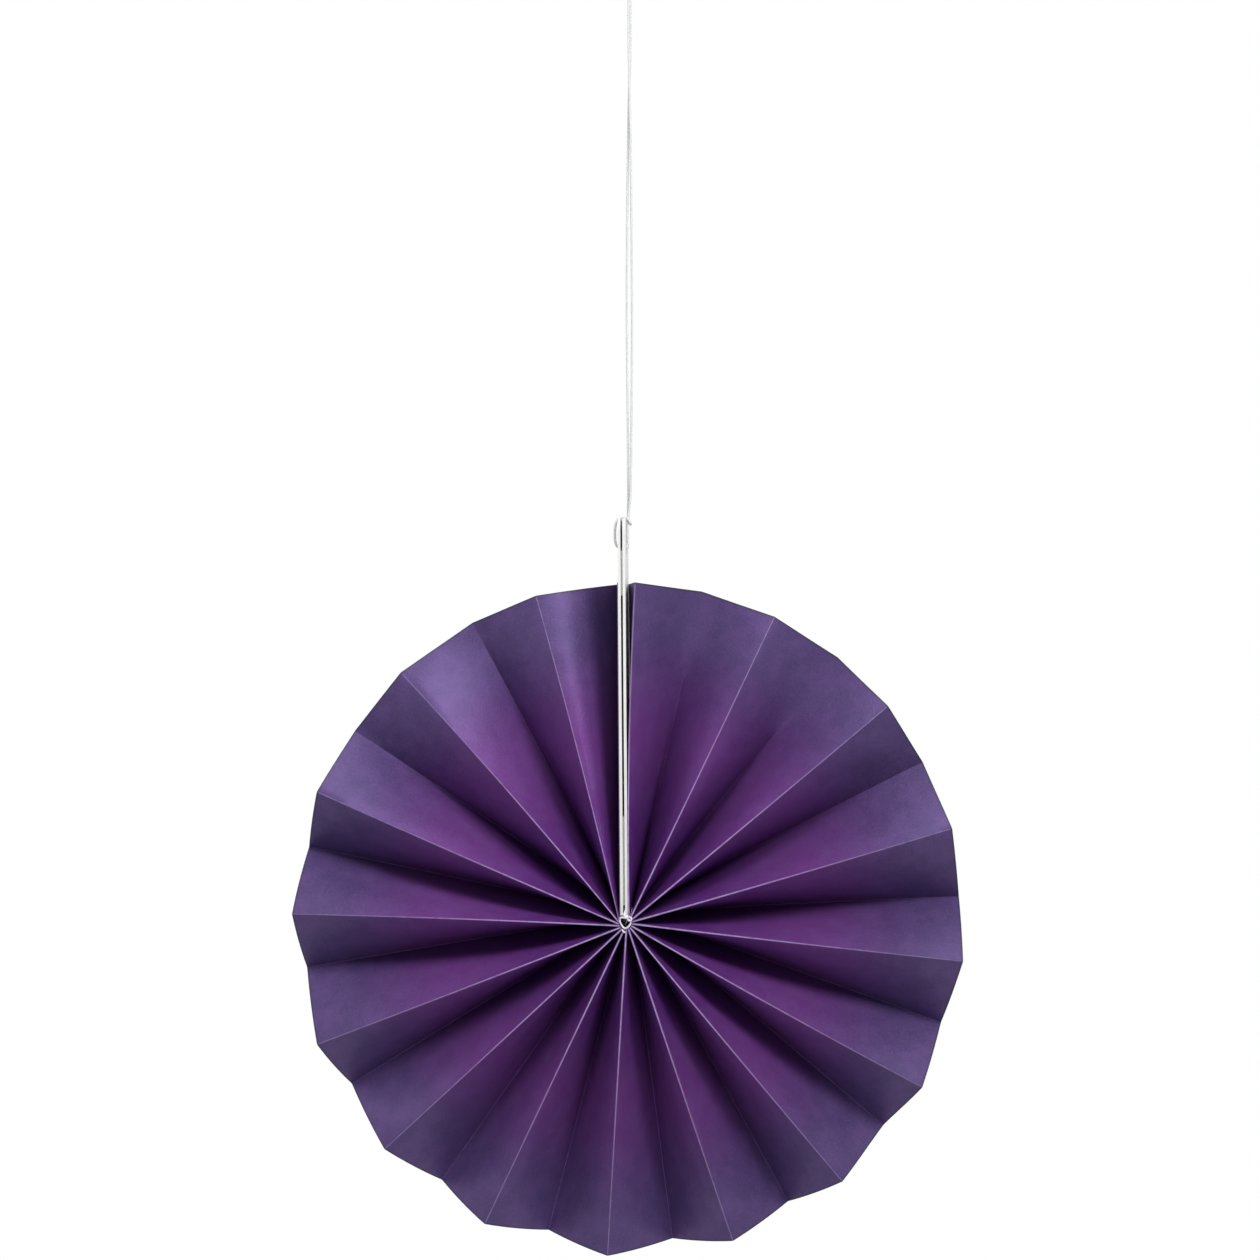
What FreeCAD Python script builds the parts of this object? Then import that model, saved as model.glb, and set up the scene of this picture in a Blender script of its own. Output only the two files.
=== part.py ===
import FreeCAD, Part
import math
import os

V = FreeCAD.Vector

# Hanging paper fan rosette, in millimetres.
# The origin is where a hook bears under the top of the string loop, +Z is up and the front faces -Y.
# Angles of folds are degrees clockwise from twelve o'clock, as seen from the front.

# Paper strip
rosette_radius = 100.0
panel_width = 25.0
paper_t = 0.25
inner_radius = 2.0
card_gap = 0.02
# Least front-to-back depth that a pulled-open pleat keeps
flattest_pleat = 3.0
# The rim's centre, side and up from the point where the thread gathers the pleats
rim_shift = V(0.3, 0, 0.3)

# Where each fold meets the rim: the pleats are opened by hand, so they are uneven
ridge_angles = [
    1.5, 26.0, 50.6, 74.2, 96.8, 119.3, 140.4, 161.7,
    183.3, 205.0, 226.4, 247.8, 270.7, 292.1, 317.0, 344.1,
]
valley_angles = [
    12.8, 39.0, 62.5, 86.9, 109.1, 129.6, 151.1, 172.4,
    194.2, 214.9, 238.1, 260.1, 281.3, 303.6, 331.8, 356.3,
]
# Sideways bow of a ridge at half its length, clockwise positive
ridge_bows = {119.3: 0.3, 270.7: 0.5, 317.0: 1.2, 344.1: 0.8}

# End cards and the tape between them
card_t = 0.8
tape_t = 0.6
tab_reach = 19.5
tab_corner_r = 4.0
card_foot = 2.1
# The cards lean a little to the left, and their middle passes beside the gathered centre
seam_shift = -0.35
seam_lean = 0.43
hole_d = 4.5
hole_below_top = 10.0
tape_margin = 0.8
tape_outer_below_rim = 3.6
tape_outer_above_rim = tab_reach / 2
tape_inner_from = 5.0
tape_inner_to = 31.0

# Thread ring at the centre
thread_d = 0.55
thread_ring_r = 1.68
thread_knot_d = 1.5
thread_tail = 1.9

# Hanging string
string_d = 0.75
cord_fullness = 1.04
string_gap = 0.04
disc_drop = 300.0
disc_side = -0.75
knot_drop = 19.0
knot_d = 3.0
knot_h = 2.8

fold_count = len(ridge_angles) + len(valley_angles)
fold_angles = sorted(ridge_angles + valley_angles)
half_seam = tape_t / 2 + card_t
disc_centre = V(disc_side, 0, -disc_drop)
card_top = rosette_radius + tab_reach
hole_z = card_top - hole_below_top


def polar(radius, angle, y):
    a = math.radians(angle)
    return V(radius * math.sin(a), y, radius * math.cos(a))


def seam_x(z):
    return seam_shift - z * math.tan(math.radians(seam_lean))


def chord(radius, angle_a, angle_b):
    return 2 * radius * math.sin(math.radians(abs(angle_b - angle_a)) / 2)


def open_depth(width):
    """Front-to-back depth of a panel whose folds lie a given width apart."""
    return math.sqrt(max(panel_width ** 2 - width ** 2, flattest_pleat ** 2))


def fold_line(k):
    """Control points of the middle of fold k, from the gathered centre to the rim."""
    angle = fold_angles[k]
    side = -1 if angle in ridge_angles else 1
    start = inner_angle(k + 0.5)
    depths = []
    for other in (k - 1, k + 1):
        if 0 <= other < fold_count:
            rim = chord(rosette_radius, fold_angles[other], angle)
            depths.append((open_depth(rim), open_depth(rim / 2)))
    rim_y = side * sum(d[0] for d in depths) / len(depths) / 2
    mid_y = side * sum(d[1] for d in depths) / len(depths) / 2
    inner_y = side * panel_width / 2
    if k in (0, fold_count - 1):
        rim_y = inner_y
        mid_y = inner_y
    inner = polar(inner_radius, start, inner_y)
    rim = polar(rosette_radius, angle, rim_y) + rim_shift
    mid = (inner + rim) * 0.5
    mid.y = 2 * mid_y - (inner_y + rim_y) / 2
    bow = ridge_bows.get(angle, 0.0)
    mid = mid + tangent(mid) * (2 * bow)
    return [inner, mid, rim]


def tangent(point):
    """Unit vector clockwise round the disc at a point."""
    r = math.hypot(point.x, point.z)
    return V(point.z / r, 0, -point.x / r)


def inner_angle(panel):
    """Angle at which a panel starts at the gathered centre: 0 lies on the right card."""
    reach = half_seam + card_gap + paper_t / 2
    first = math.degrees(math.asin((reach + seam_shift) / inner_radius))
    last = 360 - math.degrees(math.asin((reach - seam_shift) / inner_radius))
    return first + (last - first) * panel / fold_count


def inner_fold_width():
    return math.radians(inner_angle(1) - inner_angle(0)) * inner_radius


def free_edge(side):
    """Cut edge of the strip along a card: 1 at the right card's back, -1 at the left card's front."""
    reach = side * (half_seam + card_gap + paper_t / 2)
    panel = 0 if side > 0 else fold_count
    inner = polar(inner_radius, inner_angle(panel), side * panel_width / 2)
    x = seam_x(rosette_radius) + reach
    z = rim_shift.z + math.sqrt(rosette_radius ** 2 - (x - rim_shift.x) ** 2)
    rim = V(x, side * panel_width / 2, z)
    return [inner, (inner + rim) * 0.5, rim]


def strip_rows():
    """Middle surface of the strip as three rows of control points, from the centre to the rim.

    Each row is a list of pieces in order round the disc. A piece runs straight across a panel
    or a fold band between two points, and neighbours share their end points."""
    half = inner_fold_width() / 2
    folds = [fold_line(k) for k in range(fold_count)]
    ends = (free_edge(1), free_edge(-1))
    rows = []
    for row in range(3):
        pieces = []
        last = ends[0][row]
        for k in range(fold_count):
            centre = folds[k][row]
            t = tangent(centre)
            before = centre - t * half
            after = centre + t * half
            if row == 0:
                before = polar(inner_radius, inner_angle(k), centre.y)
                after = polar(inner_radius, inner_angle(k + 1), centre.y)
            pieces.append([last, before])
            pieces.append([before, after])
            last = after
        pieces.append([last, ends[1][row]])
        rows.append(pieces)
    return rows


def front_normal(a, b, at):
    """Normal on the front side of the strip where it runs from a to b."""
    t = tangent(at)
    run = (b - a).dot(t)
    rise = b.y - a.y
    size = math.hypot(run, rise)
    return t * (rise / size) + V(0, -run / size, 0)


def offset_row(pieces, distance):
    """The row moved to one face of the paper, with mitred corners at the folds."""
    normals = [(front_normal(a, b, a), front_normal(a, b, b)) for a, b in pieces]
    moved = []
    for i, (a, b) in enumerate(pieces):
        shift_a, shift_b = normals[i]
        if i > 0:
            shift_a = mitre(normals[i - 1][1], shift_a)
        if i < len(pieces) - 1:
            shift_b = mitre(shift_b, normals[i + 1][0])
        moved.append([a + shift_a * distance, b + shift_b * distance])
    return moved


def mitre(n1, n2):
    return (n1 + n2) * (1 / (1 + n1.dot(n2)))


def patch(net):
    """Face over a net of control points."""
    surface = Part.BezierSurface()
    surface.increase(len(net) - 1, len(net[0]) - 1)
    for i, line in enumerate(net):
        for j, point in enumerate(line):
            surface.setPole(i + 1, j + 1, point)
    return surface.toShape()


def pleated_paper():
    rows = strip_rows()
    front = [offset_row(row, paper_t / 2) for row in rows]
    back = [offset_row(row, -paper_t / 2) for row in rows]
    faces = []
    for i in range(len(rows[0])):
        faces.append(patch([row[i] for row in front]))
        faces.append(patch([row[i] for row in back]))
        for edge in (0, -1):
            faces.append(patch([front[edge][i], back[edge][i]]))
    for i in (0, -1):
        faces.append(patch([[front[r][i][i], back[r][i][i]] for r in range(3)]))
    shell = Part.Shell(faces)
    shell.sewShape()
    solid = Part.Solid(shell)
    if solid.Volume < 0:
        solid.reverse()
    return solid


def on_seam(shape):
    """Lean a piece that was made on the plane x = 0 over to the seam between the cards."""
    shape.rotate(V(0, 0, 0), V(0, 1, 0), -seam_lean)
    shape.translate(V(seam_shift, 0, 0))
    return shape


def end_card(side):
    """Card strip with a rounded tab above the rim and a punched hole."""
    half = panel_width / 2
    x = tape_t / 2 if side > 0 else -half_seam
    card = Part.makeBox(card_t, panel_width, card_top - card_foot, V(x, -half, card_foot))
    corners = [e for e in card.Edges if e.BoundBox.YLength < 0.01 and e.BoundBox.ZMin > card_top - 0.01]
    card = card.makeFillet(tab_corner_r, corners)
    card = card.cut(punch())
    return on_seam(card)


def punch():
    length = 4 * half_seam
    return Part.makeCylinder(hole_d / 2, length, V(-length / 2, 0, hole_z), V(1, 0, 0))


def tape(z_from, z_to):
    width = panel_width - 2 * tape_margin
    pad = Part.makeBox(tape_t, width, z_to - z_from, V(-tape_t / 2, -width / 2, z_from))
    return on_seam(pad.cut(punch()))


def thread_ring(centre, radius):
    """Round turn of thread that faces the front."""
    section = Part.Face(cord_section(centre + V(radius, 0, 0), V(0, 0, 1), thread_d))
    return section.revolve(centre, V(0, 1, 0), 360)


def centre_thread():
    """Thread that draws the inner edges together, with its knot and a cut tail."""
    y = -(panel_width + paper_t + thread_d) / 2 - string_gap / 2
    ring = thread_ring(V(0, y, 0), thread_ring_r)
    knot_at = polar(thread_ring_r, 46, y - thread_d / 2)
    knot = thread_ring(knot_at, (thread_knot_d - thread_d) / 2)
    tail_at = polar(thread_ring_r, 198, y)
    tail = Part.Face(cord_section(tail_at, V(0, 0, -1), thread_d)).extrude(V(0.1, 0, -1) * thread_tail)
    return ring.fuse([knot, tail])


def arc_route(points):
    """Straight runs joined by tangent arcs, each as large as its two runs allow."""
    edges = []
    radii = []
    here = points[0]
    for i in range(1, len(points) - 1):
        corner = points[i]
        back = points[i - 1] - corner
        on = points[i + 1] - corner
        half_turn = (math.pi - back.getAngle(on)) / 2
        cut = 0.45 * min(back.Length, on.Length)
        radii.append(cut / math.tan(half_turn))
        a = corner + back.normalize() * cut
        b = corner + on.normalize() * cut
        inwards = (back + on).normalize()
        sagitta = radii[-1] / math.cos(half_turn) - radii[-1]
        edges.append(Part.LineSegment(here, a).toShape())
        edges.append(Part.Arc(a, corner + inwards * sagitta, b).toShape())
        here = b
    edges.append(Part.LineSegment(here, points[-1]).toShape())
    return Part.Wire(edges), radii


def cord_section(centre, along, diameter):
    """Section of a thin cord: an eight-sided outline of about a round cord's area."""
    side = along.cross(V(0, 1, 0)).normalize()
    up = side.cross(along)
    r = diameter / 2 * cord_fullness
    turns = [math.pi * k / 4 for k in range(9)]
    return Part.makePolygon([centre + side * (r * math.cos(a)) + up * (r * math.sin(a)) for a in turns])


def cord_area(diameter):
    return 2 * math.sqrt(2) * (diameter / 2 * cord_fullness) ** 2


def cord_tube(name, points, diameter):
    wire, radii = arc_route(points)
    along = (points[1] - points[0]).normalize()
    tube = wire.makePipeShell([cord_section(points[0], along, diameter)], True, False)
    expected = cord_area(diameter) * wire.Length
    print(name, "length", round(wire.Length, 1), "radii", [round(r, 1) for r in radii])
    print(name, "volume against section times length", round(tube.Volume / expected, 4))
    return tube


# Route of the hanging string, as side (x), front-back (y) and height above the disc centre (z).
# It comes down in front, goes through the hole to the left, up and over the tab, round both
# strands, and back the same way to the strand behind.
string_route = [
    (0.57, -0.43, 279.58),
    (0.42, -0.50, 268.0),
    (0.80, -0.48, 248.0),
    (1.22, -0.45, 226.0),
    (1.62, -0.45, 180.0),
    (1.12, -0.42, 141.0),
    (0.40, -0.45, 122.5),
    (0.33, -0.46, 117.6),
    (0.34, -0.48, 113.4),
    (0.36, -0.60, 110.98),
    (-1.20, -0.74, 110.95),
    (-3.05, -0.86, 111.05),
    (-3.66, -0.98, 113.2),
    (-3.64, -1.12, 117.2),
    (-2.95, -1.22, 119.7),
    (-1.90, -1.26, 120.1),
    (-0.05, -1.28, 120.1),
    (0.53, -1.28, 119.3),
    (1.14, -0.82, 118.0),
    (1.14, 0.82, 118.0),
    (0.53, 1.28, 119.3),
    (-0.05, 1.28, 120.1),
    (-1.90, 1.26, 120.1),
    (-2.95, 1.22, 119.7),
    (-3.64, 1.12, 117.2),
    (-3.66, 0.98, 113.2),
    (-3.05, 0.86, 111.05),
    (-1.20, 0.74, 110.95),
    (0.36, 0.60, 110.98),
    (0.34, 0.48, 113.4),
    (0.33, 0.46, 117.6),
    (0.30, 0.45, 122.5),
    (0.14, 0.42, 141.0),
    (-0.16, 0.45, 180.0),
    (0.16, 0.45, 226.0),
    (0.58, 0.48, 248.0),
    (1.34, 0.50, 268.0),
    (0.93, 0.43, 279.58),
]

# Route of the loop that goes over a hook, from the origin
loop_route = [
    (-0.42, 0.00, -17.6),
    (-0.43, 0.00, -16.2),
    (-2.20, 0.05, -11.4),
    (-3.25, 0.05, -5.6),
    (-1.90, 0.00, 0.375),
    (1.90, 0.00, 0.375),
    (3.25, -0.05, -5.6),
    (2.20, -0.05, -11.4),
    (0.43, 0.00, -16.2),
    (0.42, 0.00, -17.6),
]


def hanging_string():
    points = [disc_centre + V(*p) for p in string_route]
    return cord_tube("string", points, string_d)


def hanging_loop():
    return cord_tube("loop", [V(*p) for p in loop_route], string_d)


def string_knot():
    """Tight knot that closes the string and carries the loop: the cords leave its flat ends."""
    body = Part.makeSphere(knot_d / 2)
    slab = Part.makeBox(2 * knot_d, 2 * knot_d, knot_h, V(-knot_d, -knot_d, -knot_h / 2))
    body = body.common(slab)
    body.translate(V(0, 0, -knot_drop))
    return body


def save(name, shape):
    shape.exportStep("parts/" + name + ".step")
    box = shape.BoundBox
    sizes = [round(v, 2) for v in (box.XLength, box.YLength, box.ZLength)]
    print(name, "valid", shape.isValid(), "solids", len(shape.Solids), "volume", round(shape.Volume, 1), sizes)


def placed(shape):
    shape.translate(disc_centre)
    return shape


os.makedirs("parts", exist_ok=True)
save("pleated_paper", placed(pleated_paper()))
save("end_card_right", placed(end_card(1)))
save("end_card_left", placed(end_card(-1)))
save("tape_outer", placed(tape(rosette_radius - tape_outer_below_rim, rosette_radius + tape_outer_above_rim)))
save("tape_inner", placed(tape(tape_inner_from, tape_inner_to)))
save("centre_thread", placed(centre_thread()))
save("hanging_string", hanging_string())
save("hanging_loop", hanging_loop())
save("string_knot", string_knot())
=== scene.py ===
import bpy
import math
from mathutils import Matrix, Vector


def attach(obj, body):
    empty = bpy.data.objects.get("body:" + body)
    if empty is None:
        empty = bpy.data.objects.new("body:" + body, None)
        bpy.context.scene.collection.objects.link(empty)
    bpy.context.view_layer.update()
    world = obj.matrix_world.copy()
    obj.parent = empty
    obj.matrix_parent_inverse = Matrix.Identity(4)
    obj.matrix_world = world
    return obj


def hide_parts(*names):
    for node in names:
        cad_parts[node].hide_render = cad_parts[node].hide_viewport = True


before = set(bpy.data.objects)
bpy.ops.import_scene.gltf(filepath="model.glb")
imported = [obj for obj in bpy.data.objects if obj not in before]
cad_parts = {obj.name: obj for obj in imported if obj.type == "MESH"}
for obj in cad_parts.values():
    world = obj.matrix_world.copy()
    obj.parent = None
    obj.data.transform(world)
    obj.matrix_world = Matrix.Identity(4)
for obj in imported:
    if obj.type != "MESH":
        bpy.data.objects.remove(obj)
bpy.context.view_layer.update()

mm = 0.001
discCentre = Vector((-0.75, 0, -300)) * mm   # where the thread gathers the pleats


def fromDisc(x, y, z):   # a place given in millimetres from the gathered centre
    return discCentre + Vector((x, y, z)) * mm


# Node helpers for the materials

def startMaterial(name):
    mat = bpy.data.materials.new(name)
    mat.use_nodes = True
    shader = mat.node_tree.nodes["Principled BSDF"]
    return mat, mat.node_tree, shader


def addNode(tree, kind, inputs=None, **settings):
    node = tree.nodes.new(kind)
    for key, value in settings.items():
        setattr(node, key, value)
    for key, value in (inputs or {}).items():
        if isinstance(value, bpy.types.NodeSocket):
            tree.links.new(value, node.inputs[key])
        else:
            node.inputs[key].default_value = value
    return node


def maths(tree, operation, a, b):
    return addNode(tree, "ShaderNodeMath", {0: a, 1: b}, operation=operation).outputs[0]


def ramp(tree, value, low, high, out=(0.0, 1.0)):   # smooth step between two values
    node = addNode(tree, "ShaderNodeMapRange", {"Value": value, "From Min": low, "From Max": high,
                   "To Min": out[0], "To Max": out[1]}, interpolation_type="SMOOTHSTEP")
    return node.outputs["Result"]


def mixColour(tree, amount, a, b):
    node = addNode(tree, "ShaderNodeMix", data_type="RGBA")
    for socket, value in ((node.inputs[0], amount), (node.inputs[6], a), (node.inputs[7], b)):
        if isinstance(value, bpy.types.NodeSocket):
            tree.links.new(value, socket)
        else:
            socket.default_value = value
    return node.outputs[2]


def noise(tree, vector, scale, detail=2.0, rough=0.5):
    node = addNode(tree, "ShaderNodeTexNoise", {"Vector": vector, "Scale": scale, "Detail": detail,
                   "Roughness": rough})
    return node.outputs["Fac"]


def bump(tree, height, distance, strength=1.0, normal=None):
    inputs = {"Height": height, "Distance": distance, "Strength": strength}
    if normal is not None:
        inputs["Normal"] = normal
    return addNode(tree, "ShaderNodeBump", inputs).outputs["Normal"]


# Camera, as the photograph was taken

camera = {
    "place": (25.0, -642.2, 86.25),   # from the gathered centre
    "turn": 2.149,                    # degrees to the left of straight on
    "lens": 61.07,
    "sensor": 36.0,
}


def makeCamera():
    data = bpy.data.cameras.new("camera")
    data.sensor_width = camera["sensor"]
    data.lens = camera["lens"]
    data.clip_start = 0.01
    data.clip_end = 20
    cam = bpy.data.objects.new("camera", data)
    bpy.context.scene.collection.objects.link(cam)
    cam.location = fromDisc(*camera["place"])
    cam.rotation_euler = (math.radians(90), 0, math.radians(camera["turn"]))
    bpy.context.scene.camera = cam


makeCamera()
print("camera placed")


# Hanging string and its loop: two-ply cord

string = {
    "diameter": 0.75,
    "pitch": 2.1,        # length of one whole twist
    "step": 0.19,        # length of one ring of faces
    "sides": 12,
    "lobe": 0.13,        # depth of the groove between the plies, as a share of the radius
    "pathStep": 0.8,     # spacing of the path that the cord rows give
    "pale": (0.74, 0.75, 0.75, 1),
    "shade": (0.67, 0.68, 0.69, 1),
}

stringRoute = [   # from the gathered centre: down in front, hitched through the hole, up behind
    (0.57, -0.43, 279.58),
    (0.42, -0.50, 268.0),
    (0.80, -0.48, 248.0),
    (1.22, -0.45, 226.0),
    (1.62, -0.45, 180.0),
    (1.30, -0.42, 141.0),
    (1.12, -0.44, 127.0),
    (0.58, -0.45, 121.6),
    (0.33, -0.46, 117.6),
    (0.34, -0.48, 113.4),
    (0.36, -0.60, 110.98),
    (-1.20, -0.74, 110.95),
    (-3.05, -0.86, 111.05),
    (-3.66, -0.98, 113.2),
    (-3.64, -1.12, 117.2),
    (-2.95, -1.22, 119.7),
    (-1.90, -1.26, 120.1),
    (-0.05, -1.28, 120.1),
    (0.53, -1.28, 119.3),
    (1.14, -0.82, 118.0),
    (1.14, 0.82, 118.0),
    (0.53, 1.28, 119.3),
    (-0.05, 1.28, 120.1),
    (-1.90, 1.26, 120.1),
    (-2.95, 1.22, 119.7),
    (-3.64, 1.12, 117.2),
    (-3.66, 0.98, 113.2),
    (-3.05, 0.86, 111.05),
    (-1.20, 0.74, 110.95),
    (0.36, 0.60, 110.98),
    (0.34, 0.48, 113.4),
    (0.33, 0.46, 117.6),
    (0.30, 0.45, 122.5),
    (0.34, 0.42, 141.0),
    (-0.16, 0.45, 180.0),
    (0.16, 0.45, 226.0),
    (0.58, 0.48, 248.0),
    (1.34, 0.50, 268.0),
    (0.93, 0.43, 279.58),
]

loopRoute = [   # from the place where the hook bears
    (-0.42, 0.00, -17.6),
    (-0.43, 0.00, -16.2),
    (-2.20, 0.05, -11.4),
    (-3.25, 0.05, -5.6),
    (-1.90, 0.00, 0.375),
    (1.90, 0.00, 0.375),
    (3.25, -0.05, -5.6),
    (2.20, -0.05, -11.4),
    (0.43, 0.00, -16.2),
    (0.42, 0.00, -17.6),
]


routeDetail = 48   # points that the smooth line gets for each of a route's points


def smoothLine(points, closed=False):   # the smooth line that a route's points steer
    data = bpy.data.curves.new("route", "CURVE")
    data.dimensions = "3D"
    data.resolution_u = routeDetail
    spline = data.splines.new("NURBS")
    spline.points.add(len(points) - 1)
    for place, point in zip(spline.points, points):
        place.co = (*point, 1)
    spline.order_u = 3
    spline.use_cyclic_u = closed
    spline.use_endpoint_u = not closed
    holder = bpy.data.objects.new("route", data)
    bpy.context.scene.collection.objects.link(holder)
    mesh = bpy.data.meshes.new_from_object(holder)
    line = [v.co.copy() for v in mesh.vertices]
    bpy.data.objects.remove(holder)
    bpy.data.curves.remove(data)
    bpy.data.meshes.remove(mesh)
    return line


def evenSteps(line, step, closed=False):   # the same line at even steps
    if closed:
        line = line + [line[0]]
    lengths = [0.0]
    for a, b in zip(line, line[1:]):
        lengths.append(lengths[-1] + (b - a).length)
    count = max(2, round(lengths[-1] / step))
    places, k = [], 0
    for i in range(count + 1):
        want = lengths[-1] * i / count
        while k < len(line) - 2 and lengths[k + 1] < want:
            k += 1
        share = (want - lengths[k]) / max(lengths[k + 1] - lengths[k], 1e-12)
        places.append(line[k].lerp(line[k + 1], min(share, 1.0)))
    return places, lengths[-1]


def twistedCord(name, line, look, closed=False):   # a tube of two plies laid along a line
    places, length = evenSteps(line, look["step"] * mm, closed)
    if closed:
        places = places[:-1]
    count, sides = len(places), look["sides"]
    radius = look["diameter"] * mm / 2
    side = None
    verts, faces = [], []
    for i, place in enumerate(places):
        before = places[i - 1] if (i or closed) else place
        after = places[(i + 1) % count] if (i < count - 1 or closed) else place
        along = (after - before).normalized()
        side = along.orthogonal() if side is None else side - along * side.dot(along)
        side.normalize()
        up = along.cross(side)
        turn = 2 * math.pi * i * length / count / (look["pitch"] * mm)
        for j in range(sides):
            angle = 2 * math.pi * j / sides
            reach = radius * (1 - look["lobe"] * (0.5 - 0.5 * math.cos(2 * angle)))
            verts.append(place + (side * math.cos(angle + turn) + up * math.sin(angle + turn)) * reach)
    rings = count if closed else count - 1
    for i in range(rings):
        for j in range(sides):
            a, b = i * sides + j, i * sides + (j + 1) % sides
            step = ((i + 1) % count - i) * sides
            faces.append((a, b, b + step, a + step))
    if not closed:
        faces.append(tuple(range(sides - 1, -1, -1)))
        faces.append(tuple(range((count - 1) * sides, count * sides)))
    mesh = bpy.data.meshes.new(name)
    mesh.from_pydata(verts, [], faces)
    mesh.shade_smooth()
    layer = mesh.uv_layers.new(name="alongCord")
    for face in mesh.polygons:
        for corner in face.loop_indices:
            vert = mesh.loops[corner].vertex_index
            layer.data[corner].uv = (vert % sides / sides, vert // sides * length / count / mm)
    piece = bpy.data.objects.new(name, mesh)
    bpy.context.scene.collection.objects.link(piece)
    return piece, length


def cottonMaterial(name, colour, shade):
    mat, tree, shader = startMaterial(name)
    place = addNode(tree, "ShaderNodeTexCoord").outputs["Object"]
    fibres = noise(tree, place, 9000, 3, 0.6)
    patches = noise(tree, place, 700, 2)
    tone = maths(tree, "ADD", maths(tree, "MULTIPLY", fibres, 0.55),
                 maths(tree, "MULTIPLY", patches, 0.45))
    mixed = mixColour(tree, ramp(tree, tone, 0.35, 0.65), shade, colour)
    tree.links.new(mixed, shader.inputs["Base Color"])
    tree.links.new(bump(tree, fibres, 0.00006, 0.5), shader.inputs["Normal"])
    shader.inputs["Roughness"].default_value = 0.85
    shader.inputs["Specular IOR Level"].default_value = 0.25
    shader.inputs["Sheen Weight"].default_value = 0.25
    shader.inputs["Sheen Roughness"].default_value = 0.5
    return mat


stringMat = cottonMaterial("whiteCotton", string["pale"], string["shade"])

knot = {
    "height": -19.0,     # from the place where the hook bears
    "across": 0.37,
    "tall": 0.96,
    "points": 96,
}


def makeKnot():   # overhand knot drawn tight round itself
    centre = Vector((0, 0, knot["height"])) * mm
    line = []
    for i in range(knot["points"]):
        t = 2 * math.pi * i / knot["points"]
        x = knot["across"] * (math.sin(t) + 2 * math.sin(2 * t))
        y = knot["across"] * (math.cos(t) - 2 * math.cos(2 * t))
        line.append(centre + Vector((x, y, -knot["tall"] * math.sin(3 * t))) * mm)
    piece = twistedCord("stringKnot", line, string, closed=True)[0]
    piece.data.materials.append(stringMat)
    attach(piece, "root")
    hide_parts("string_knot")
    return piece


def makeStrings():
    knotPiece = makeKnot()
    routes = (("hangingString", "hanging_string", [fromDisc(*p) for p in stringRoute]),
              ("hangingLoop", "hanging_loop", [Vector(p) * mm for p in loopRoute]))
    for name, node, points in routes:
        line = smoothLine(points)
        piece, length = twistedCord(name, line, string)
        piece.data.materials.append(stringMat)
        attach(piece, "root")
        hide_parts(node)
        evenSteps(line, string["pathStep"] * mm)[0]
        print(name, "is", round(length, 4), "m long")


makeStrings()


# Pleated paper, folded from one flat strip

paper = {
    "radius": 100.0,
    "panel": 25.0,       # width of one panel of the flat strip
    "thickness": 0.25,
    "innerRadius": 2.0,  # of the gathered edge
    "flattest": 3.0,     # least depth of a pleat that is opened all the way
    "halfSeam": 1.1,     # from the middle of the seam to the outside of a card
    "cardGap": 0.02,     # glue between the paper and a card
    "seamShift": -0.35,  # sideways place of the seam at the centre
    "seamLean": 0.43,    # degrees that the seam leans to the left
    "rimShift": Vector((0.3, 0, 0.3)),
    "bulge": 0.11,       # swell of a panel towards the front, as a share of its depth,
                         # where panelBulge gives no other for the panel after a fold
    "rollFrom": 0.5,     # share of the way out where soft valleys begin to roll open
    "rollTo": 0.86,
    "rollLift": 6.0,     # how far the softest valley comes forward at the rim
    "columns": 8,        # faces across one panel
    "rows": 36,          # faces from the centre to the rim
    "smoothTo": 28,      # degrees, above which an edge stays sharp
}

# Folds by their angle clockwise from the top, in degrees
ridgeAngles = [1.5, 26.0, 50.6, 74.2, 96.8, 119.3, 140.4, 161.7, 183.3, 205.0, 226.4, 247.8, 270.7,
               292.1, 317.0, 344.1]
valleyAngles = [12.8, 39.0, 62.5, 86.9, 109.1, 129.6, 151.1, 172.4, 194.2, 214.9, 238.1, 260.1,
                281.3, 303.6, 331.8, 358.2]
ridgeBows = {1.5: -0.85, 119.3: 0.3, 270.7: 0.5, 317.0: 1.2, 344.1: 0.8}   # sideways, halfway out
panelBulge = {12.8: 0.18, 26.0: 0.2, 39.0: 0.18, 270.7: 0.15, 292.1: 0.18, 317.0: 0.14, 344.1: 0.4}
valleySoftness = {12.8: 0.9, 39.0: 1.0, 62.5: 0.35, 129.6: 0.3, 303.6: 0.2, 331.8: 0.15}   # 1 is softest
foldAngles = sorted(ridgeAngles + valleyAngles)
foldCount = len(foldAngles)


def polar(radius, angle, y):
    a = math.radians(angle)
    return Vector((radius * math.sin(a), y, radius * math.cos(a)))


def clockwise(point):   # direction round the disc
    r = math.hypot(point.x, point.z)
    return Vector((point.z / r, 0, -point.x / r))


def openDepth(width):   # depth of a panel that is opened to a width
    return math.sqrt(max(paper["panel"] ** 2 - width ** 2, paper["flattest"] ** 2))


def innerAngle(panel):   # where a panel starts round the gathered edge
    reach = paper["halfSeam"] + paper["cardGap"] + paper["thickness"] / 2
    first = math.degrees(math.asin((reach + paper["seamShift"]) / paper["innerRadius"]))
    last = 360 - math.degrees(math.asin((reach - paper["seamShift"]) / paper["innerRadius"]))
    return first + (last - first) * panel / foldCount


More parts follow.
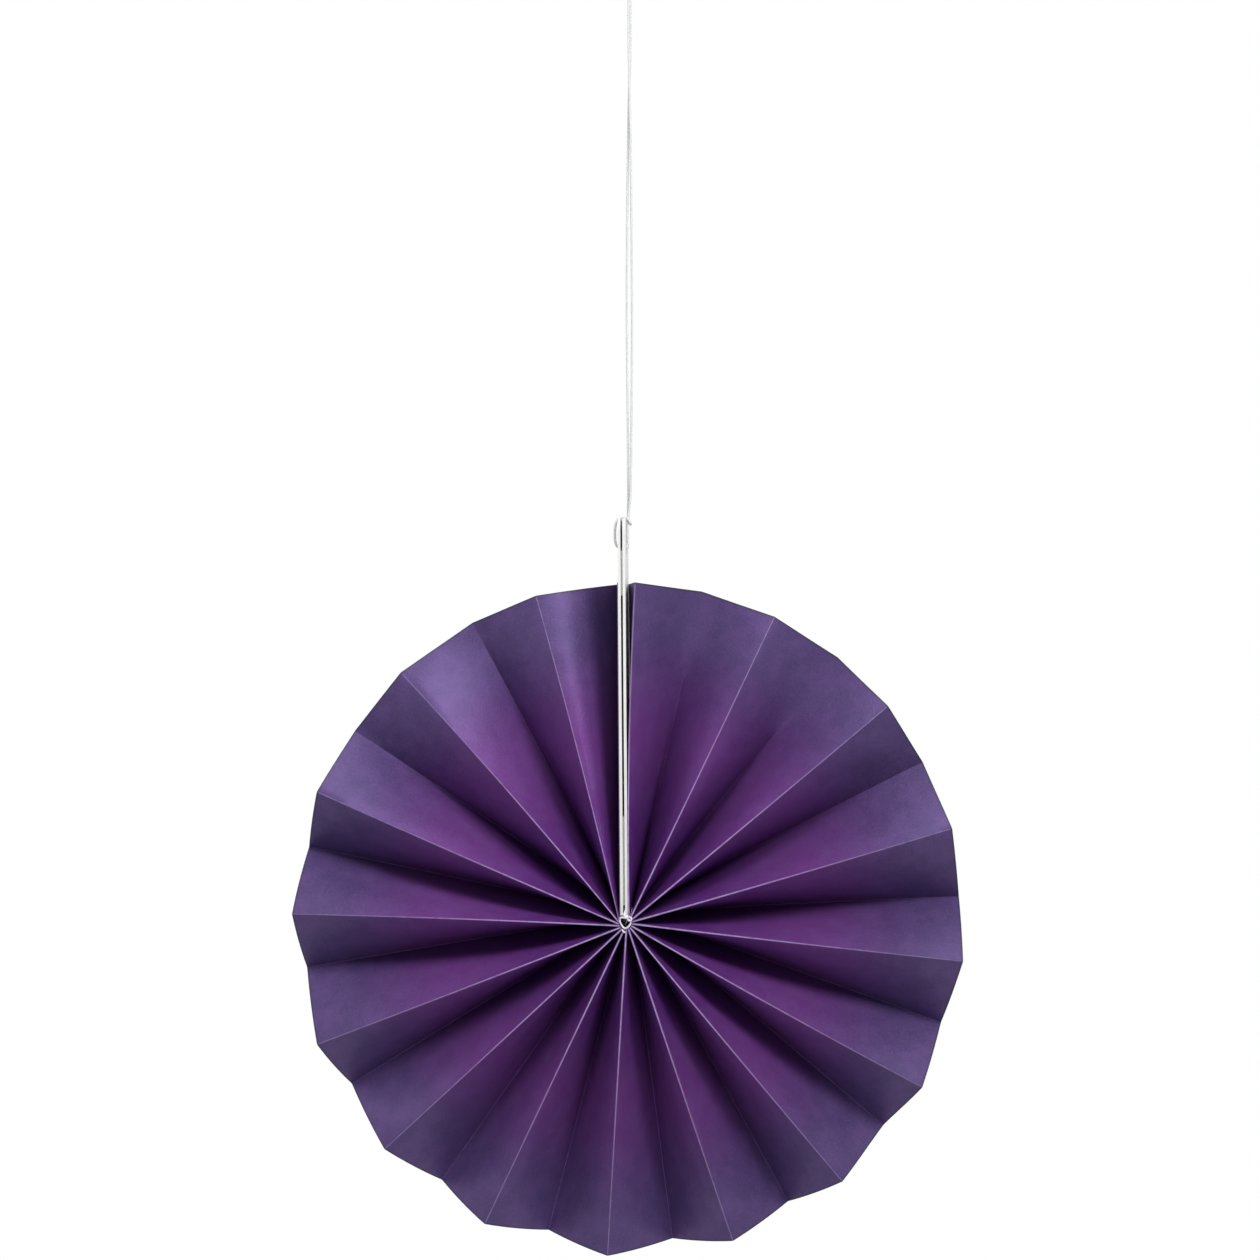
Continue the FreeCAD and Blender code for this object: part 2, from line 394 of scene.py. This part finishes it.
def foldLine(k):   # three steering points of fold k
    angle = foldAngles[k]
    side = -1 if angle in ridgeAngles else 1
    near = [foldAngles[n] for n in (k - 1, k + 1) if 0 <= n < foldCount]
    chords = [2 * paper["radius"] * math.sin(math.radians(abs(n - angle)) / 2) for n in near]
    innerY = side * paper["panel"] / 2
    if k in (0, foldCount - 1):
        rimY = midY = innerY
    else:
        rimY = side * sum(openDepth(c) for c in chords) / len(chords) / 2
        midY = side * sum(openDepth(c / 2) for c in chords) / len(chords) / 2
    inner = polar(paper["innerRadius"], innerAngle(k + 0.5), innerY)
    rim = polar(paper["radius"], angle, rimY) + paper["rimShift"]
    mid = (inner + rim) / 2
    mid.y = 2 * midY - (innerY + rimY) / 2
    mid += clockwise(mid) * 2 * ridgeBows.get(angle, 0.0)
    return [inner, mid, rim]


def freeEdge(side):   # cut end of the strip along a card
    reach = side * (paper["halfSeam"] + paper["cardGap"] + paper["thickness"] / 2)
    y = side * paper["panel"] / 2
    inner = polar(paper["innerRadius"], innerAngle(0 if side > 0 else foldCount), y)
    x = paper["seamShift"] - paper["radius"] * math.tan(math.radians(paper["seamLean"])) + reach
    shift = paper["rimShift"]
    rim = Vector((x, y, shift.z + math.sqrt(paper["radius"] ** 2 - (x - shift.x) ** 2)))
    return [inner, (inner + rim) / 2, rim]


def panelPoints(a, b):   # four points evenly across a panel
    return [a, a.lerp(b, 1 / 3), a.lerp(b, 2 / 3), b]


def rolledOpen(fold, out):   # how far a soft valley is rolled open at a share of the way out
    t = min(max((out - paper["rollFrom"]) / (paper["rollTo"] - paper["rollFrom"]), 0), 1)
    return t * t * (3 - 2 * t) * valleySoftness.get(fold, 0)


def shapePiece(points, part, out):   # swells the panels forward and rolls the soft valleys open
    k = part // 2
    if part % 2:
        for point in points:
            point.y -= paper["rollLift"] * rolledOpen(foldAngles[k], out)
    elif 0 < k < foldCount:
        a, nearA, nearB, b = points
        before, after = foldAngles[k - 1], foldAngles[k]
        openA, openB = rolledOpen(before, out), rolledOpen(after, out)
        a.y -= paper["rollLift"] * openA
        b.y -= paper["rollLift"] * openB
        swell = abs(a.y - b.y) * panelBulge.get(before, paper["bulge"]) * (1 - max(openA, openB))
        nearA.y = a.y + (b.y - a.y) * (1 - openA) / 3 - swell
        nearB.y = b.y + (a.y - b.y) * (1 - openB) / 3 - swell
    return points


def stripRows():   # steering points of every panel and fold at the centre, halfway and at the rim
    half = math.radians(innerAngle(1) - innerAngle(0)) * paper["innerRadius"] / 2
    folds = [foldLine(k) for k in range(foldCount)]
    ends = (freeEdge(1), freeEdge(-1))
    rows = []
    for row in range(3):
        pieces = []
        last = ends[0][row]
        for k in range(foldCount):
            centre = folds[k][row]
            before = centre - clockwise(centre) * half
            after = centre + clockwise(centre) * half
            if row == 0:
                before = polar(paper["innerRadius"], innerAngle(k), centre.y)
                after = polar(paper["innerRadius"], innerAngle(k + 1), centre.y)
            pieces.append(panelPoints(last, before))
            pieces.append([before, after])
            last = after
        pieces.append(panelPoints(last, ends[1][row]))
        rows.append(pieces)
    return rows, 2 * half


def steer(points, t):   # place on the curve that a few points steer
    while len(points) > 1:
        points = [a.lerp(b, t) for a, b in zip(points, points[1:])]
    return points[0]


def columnList(band):   # each column of the flat strip: its piece, share across that and place in mm
    columns = [(0, 0.0, 0.0)]
    for k in range(foldCount + 1):
        start = k * paper["panel"]
        for j in range(1, paper["columns"] + 1):
            share = j / paper["columns"]
            columns.append((2 * k, share, start + band / 2 + share * (paper["panel"] - band)))
        if k < foldCount:
            columns.append((2 * k + 1, 0.5, start + paper["panel"]))
            columns.append((2 * k + 1, 1.0, start + paper["panel"] + band / 2))
    return columns


paperColours = {
    "inner": (0.092, 0.011, 0.165, 1),    # by the gathered centre; darker and more magenta here, partly as painted shade and bounce light of the deep creases
    "middle": (0.125, 0.031, 0.184, 1),
    "outer": (0.062, 0.039, 0.129, 1),    # towards the rim
    "mottle": (0.150, 0.075, 0.250, 1),
    "grain": (0.200, 0.120, 0.300, 1),
    # pale line along the ridge crests, partly rubbed wear and partly painted highlight
    "ridgeWearAndHighlightColour": (0.510, 0.420, 0.650, 1),
    # painted shade: a thin dark line along the outer edge
    "rim": (0.030, 0.034, 0.045, 1),
    "cutDark": (0.05, 0.035, 0.08, 1),
    "cutPale": (0.11, 0.085, 0.15, 1),
}


def paperMaterial():
    mat, tree, shader = startMaterial("pearlPaper")
    flat = addNode(tree, "ShaderNodeUVMap", uv_map="flatStrip").outputs["UV"]
    place = addNode(tree, "ShaderNodeTexCoord").outputs["Object"]
    strip = addNode(tree, "ShaderNodeSeparateXYZ", {"Vector": flat})
    across, out = strip.outputs["X"], strip.outputs["Y"]
    fromValley = maths(tree, "PINGPONG", across, paper["panel"])
    fromRidge = maths(tree, "SUBTRACT", paper["panel"], fromValley)
    grain = noise(tree, place, 2600, 3, 0.65)
    mottle = noise(tree, place, 160, 3, 0.55)
    ridgeLineBreakup = noise(tree, place, 420, 2, 0.6)
    # Colour by radius: partly the paper's own tint, partly painted bounce light and shade, darker and
    # more magenta towards the centre where the creases are deep
    body = mixColour(tree, ramp(tree, out, 16, 54), paperColours["inner"], paperColours["middle"])
    body = mixColour(tree, ramp(tree, out, 52, 90), body, paperColours["outer"])
    body = mixColour(tree, ramp(tree, mottle, 0.35, 0.7, (0, 0.24)), body, paperColours["mottle"])
    body = mixColour(tree, ramp(tree, grain, 0.35, 0.75, (0, 0.26)), body, paperColours["grain"])
    # Painted highlight along the ridge crests, partly rubbed wear: strongest by the centre and fading
    # towards the rim
    ridgeWearAndHighlight = ramp(tree, fromRidge, 0.0, 0.20, (1, 0))
    ridgeWearAndHighlight = maths(tree, "MULTIPLY", ridgeWearAndHighlight, ramp(tree, ridgeLineBreakup, 0.25, 0.6, (0.55, 1)))
    ridgeWearAndHighlight = maths(tree, "MULTIPLY", ridgeWearAndHighlight, ramp(tree, out, 12, 75, (0.72, 0.30)))
    body = mixColour(tree, ridgeWearAndHighlight, body, paperColours["ridgeWearAndHighlightColour"])
    # Painted shade: the last fraction of a millimetre towards the rim is darkened into a thin dark
    # outline
    body = mixColour(tree, ramp(tree, out, 99.2, 99.9, (0, 0.65)), body, paperColours["rim"])
    tree.links.new(body, shader.inputs["Base Color"])
    tree.links.new(ramp(tree, grain, 0.3, 0.7, (0.40, 0.56)), shader.inputs["Roughness"])
    soft = bump(tree, noise(tree, place, 55, 2, 0.4), 0.0009, 0.5)
    creased = bump(tree, noise(tree, place, 900, 3, 0.6), 0.0002, 0.3, soft)
    fine = bump(tree, grain, 0.00009, 0.7, creased)
    tree.links.new(fine, shader.inputs["Normal"])
    shader.inputs["Metallic"].default_value = 0.25
    shader.inputs["Specular IOR Level"].default_value = 0.2
    return mat


def cutEdgeMaterial():   # duller core that shows where the sheet was cut
    mat, tree, shader = startMaterial("paperCutEdge")
    place = addNode(tree, "ShaderNodeTexCoord").outputs["Object"]
    fibres = noise(tree, place, 3500, 3, 0.6)
    colour = mixColour(tree, ramp(tree, fibres, 0.3, 0.7), paperColours["cutDark"],
                       paperColours["cutPale"])
    tree.links.new(colour, shader.inputs["Base Color"])
    shader.inputs["Roughness"].default_value = 0.8
    return mat


def makePaper():
    rows, band = stripRows()
    columns = columnList(band)
    bpy.ops.object.select_all(action="DESELECT")
    bpy.ops.mesh.primitive_grid_add(x_subdivisions=len(columns) - 1, y_subdivisions=paper["rows"], size=1)
    piece = bpy.context.object
    piece.name = "foldedPaper"
    mesh = piece.data
    layer = mesh.uv_layers[0]
    layer.name = "flatStrip"
    spots = []
    for vert in mesh.vertices:
        part, share, across = columns[round((vert.co.x + 0.5) * (len(columns) - 1))]
        out = vert.co.y + 0.5
        points = [steer([row[part][n] for row in rows], out) for n in range(len(rows[0][part]))]
        place = steer(shapePiece(points, part, out), share)
        spots.append((across, paper["innerRadius"] + out * (paper["radius"] - paper["innerRadius"])))
        vert.co = fromDisc(*place)
    for loop in mesh.loops:
        layer.data[loop.index].uv = spots[loop.vertex_index]
    mesh.materials.append(paperMaterial())
    mesh.materials.append(cutEdgeMaterial())
    thick = piece.modifiers.new("thickness", "SOLIDIFY")
    thick.thickness = paper["thickness"] * mm
    thick.offset = 0
    thick.use_even_offset = True
    thick.material_offset_rim = 1
    bpy.ops.object.modifier_apply(modifier="thickness")
    bpy.ops.object.shade_smooth_by_angle(angle=math.radians(paper["smoothTo"]))
    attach(piece, "root")
    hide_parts("pleated_paper")


makePaper()
print("paper folded")


# End cards, tape and thread

def cardMaterial():
    mat, tree, shader = startMaterial("whiteCard")
    place = addNode(tree, "ShaderNodeTexCoord").outputs["Object"]
    fibres = noise(tree, place, 1800, 4, 0.6)
    cloud = noise(tree, place, 120, 2)
    tone = maths(tree, "ADD", maths(tree, "MULTIPLY", fibres, 0.4), maths(tree, "MULTIPLY", cloud, 0.6))
    colour = mixColour(tree, ramp(tree, tone, 0.3, 0.7), (0.68, 0.68, 0.66, 1), (0.75, 0.75, 0.74, 1))
    tree.links.new(colour, shader.inputs["Base Color"])
    tree.links.new(bump(tree, fibres, 0.00004, 0.4), shader.inputs["Normal"])
    shader.inputs["Roughness"].default_value = 0.7
    return mat


def tapeMaterial():
    mat, tree, shader = startMaterial("foamTape")
    place = addNode(tree, "ShaderNodeTexCoord").outputs["Object"]
    cells = noise(tree, place, 2400, 2, 0.7)
    colour = mixColour(tree, ramp(tree, cells, 0.3, 0.7), (0.36, 0.36, 0.34, 1), (0.50, 0.50, 0.48, 1))
    tree.links.new(colour, shader.inputs["Base Color"])
    tree.links.new(bump(tree, cells, 0.00008, 0.6), shader.inputs["Normal"])
    shader.inputs["Roughness"].default_value = 0.8
    return mat


def dress(node, mat):   # give a node of the frame its finish
    obj = bpy.data.objects[node]
    obj.data.materials.clear()
    obj.data.materials.append(mat)


thread = {
    "diameter": 0.6,
    "pitch": 1.5,
    "step": 0.1,
    "sides": 10,
    "lobe": 0.14,
    "front": -12.93,     # just in front of the inner tips of the ridges
    "pale": (0.86, 0.83, 0.90, 1),
    "shade": (0.66, 0.62, 0.74, 1),
}

# Sideways and upwards from the gathered centre
threadRing = [(-1.70, 1.75), (-1.62, 0.10), (-0.62, -1.50), (0.35, -1.75), (1.75, -0.30), (1.30, 1.20)]
threadKnot = [(0.55, 1.35), (1.15, 1.85), (1.85, 1.45), (1.80, 0.75), (1.15, 0.55)]
threadTail = [(-0.95, -1.95), (-0.80, -2.45), (-0.30, -2.85), (0.05, -2.80)]


def makeThread():   # ring that draws the pleats together, its knot and its cut tail
    parts = ((threadRing, True, 0.0), (threadKnot, True, -0.45), (threadTail, False, 0.06))
    pieces = []
    for points, closed, forward in parts:
        line = smoothLine([fromDisc(x, thread["front"] + forward, z) for x, z in points], closed)
        pieces.append(twistedCord("centreThread", line, thread, closed)[0])
    bpy.ops.object.select_all(action="DESELECT")
    for piece in pieces:
        piece.select_set(True)
    bpy.context.view_layer.objects.active = pieces[0]
    bpy.ops.object.join()
    pieces[0].data.materials.append(cottonMaterial("whiteThread", thread["pale"], thread["shade"]))
    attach(pieces[0], "root")
    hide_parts("centre_thread")


makeThread()
cardMat = cardMaterial()
tapeMat = tapeMaterial()
for node, mat in (("end_card_left", cardMat), ("end_card_right", cardMat), ("tape_outer", tapeMat),
                  ("tape_inner", tapeMat)):
    dress(node, mat)
print("cards, tape and thread finished")


# Floor, light and background

stage = {
    "floorDrop": 560.0,     # below the hook
    "floorRadius": 520.0,
    "floorSides": 96,
    "floorColour": (0.88, 0.88, 0.88, 1),
    "skyColour": (0.96, 0.97, 1.0, 1),
    "ambient": 0.22,        # light from all round, beside what the lamps give
}

lamps = [   # places and targets in metres from the gathered centre, power in watts
    {"name": "topLamp", "place": (0.0, -0.56, 0.63), "target": (0, 0, 0), "size": 0.26, "power": 3.2},
    {"name": "rightLamp", "place": (0.42, -0.56, 0.56), "target": (0, 0, 0), "size": 0.26, "power": 3.6},
    {"name": "leftLamp", "place": (-0.7, -0.2, 0.3), "target": (0, 0, 0), "size": 0.3, "power": 0.7},
    {"name": "spotLamp", "place": (0.25, -0.6, 0.6), "target": (-0.045, 0, 0.05), "size": 0.08,
     "power": 10, "angle": 12},
    {"name": "backLamp", "place": (-0.62, 0.68, 0.4), "target": (0, 0, 0.08), "size": 0.4, "power": 3.6},
    {"name": "backLamp", "place": (0.62, 0.68, 0.4), "target": (0, 0, 0.08), "size": 0.4, "power": 3.6},
]


def makeFloor():
    bpy.ops.object.select_all(action="DESELECT")
    bpy.ops.mesh.primitive_circle_add(vertices=stage["floorSides"], radius=stage["floorRadius"] * mm,
                                      fill_type="NGON", location=(0, 0, 0))
    floor = bpy.context.object
    floor.name = "floor"
    for vert in floor.data.vertices:
        vert.co.z -= stage["floorDrop"] * mm
    mat, tree, shader = startMaterial("paleFloor")
    shader.inputs["Base Color"].default_value = stage["floorColour"]
    shader.inputs["Roughness"].default_value = 0.9
    floor.data.materials.append(mat)


def makeWorld():   # white to look at, and a weak even light on the rosette
    world = bpy.data.worlds.new("studio")
    bpy.context.scene.world = world
    world.use_nodes = True
    tree = world.node_tree
    tree.nodes.clear()
    path = addNode(tree, "ShaderNodeLightPath")
    seen = maths(tree, "MAXIMUM", path.outputs["Is Camera Ray"], path.outputs["Is Glossy Ray"])
    seen = maths(tree, "MAXIMUM", seen, path.outputs["Is Transmission Ray"])
    light = addNode(tree, "ShaderNodeBackground", {"Color": stage["skyColour"],
                    "Strength": stage["ambient"]})
    white = addNode(tree, "ShaderNodeBackground", {"Color": (1, 1, 1, 1), "Strength": 1.0})
    mixed = addNode(tree, "ShaderNodeMixShader", {0: seen, 1: light.outputs[0], 2: white.outputs[0]})
    output = addNode(tree, "ShaderNodeOutputWorld")
    tree.links.new(mixed.outputs[0], output.inputs["Surface"])


def addLamp(lamp):   # a round soft lamp, or a spot where the row gives its angle
    kind = "SPOT" if "angle" in lamp else "AREA"
    data = bpy.data.lights.new(lamp["name"], kind)
    data.energy = lamp["power"]
    if kind == "SPOT":
        data.spot_size = math.radians(lamp["angle"])
        data.spot_blend = 1.0
        data.shadow_soft_size = lamp["size"]
    else:
        data.shape = "DISK"
        data.size = lamp["size"]
    obj = bpy.data.objects.new(lamp["name"], data)
    bpy.context.scene.collection.objects.link(obj)
    obj.location = discCentre + Vector(lamp["place"])
    aim = Vector(lamp["target"]) - Vector(lamp["place"])
    obj.rotation_euler = aim.to_track_quat("-Z", "Y").to_euler()


makeFloor()
makeWorld()
for lamp in lamps:
    addLamp(lamp)
bpy.context.scene.view_settings.view_transform = "Standard"
print("stage lit")
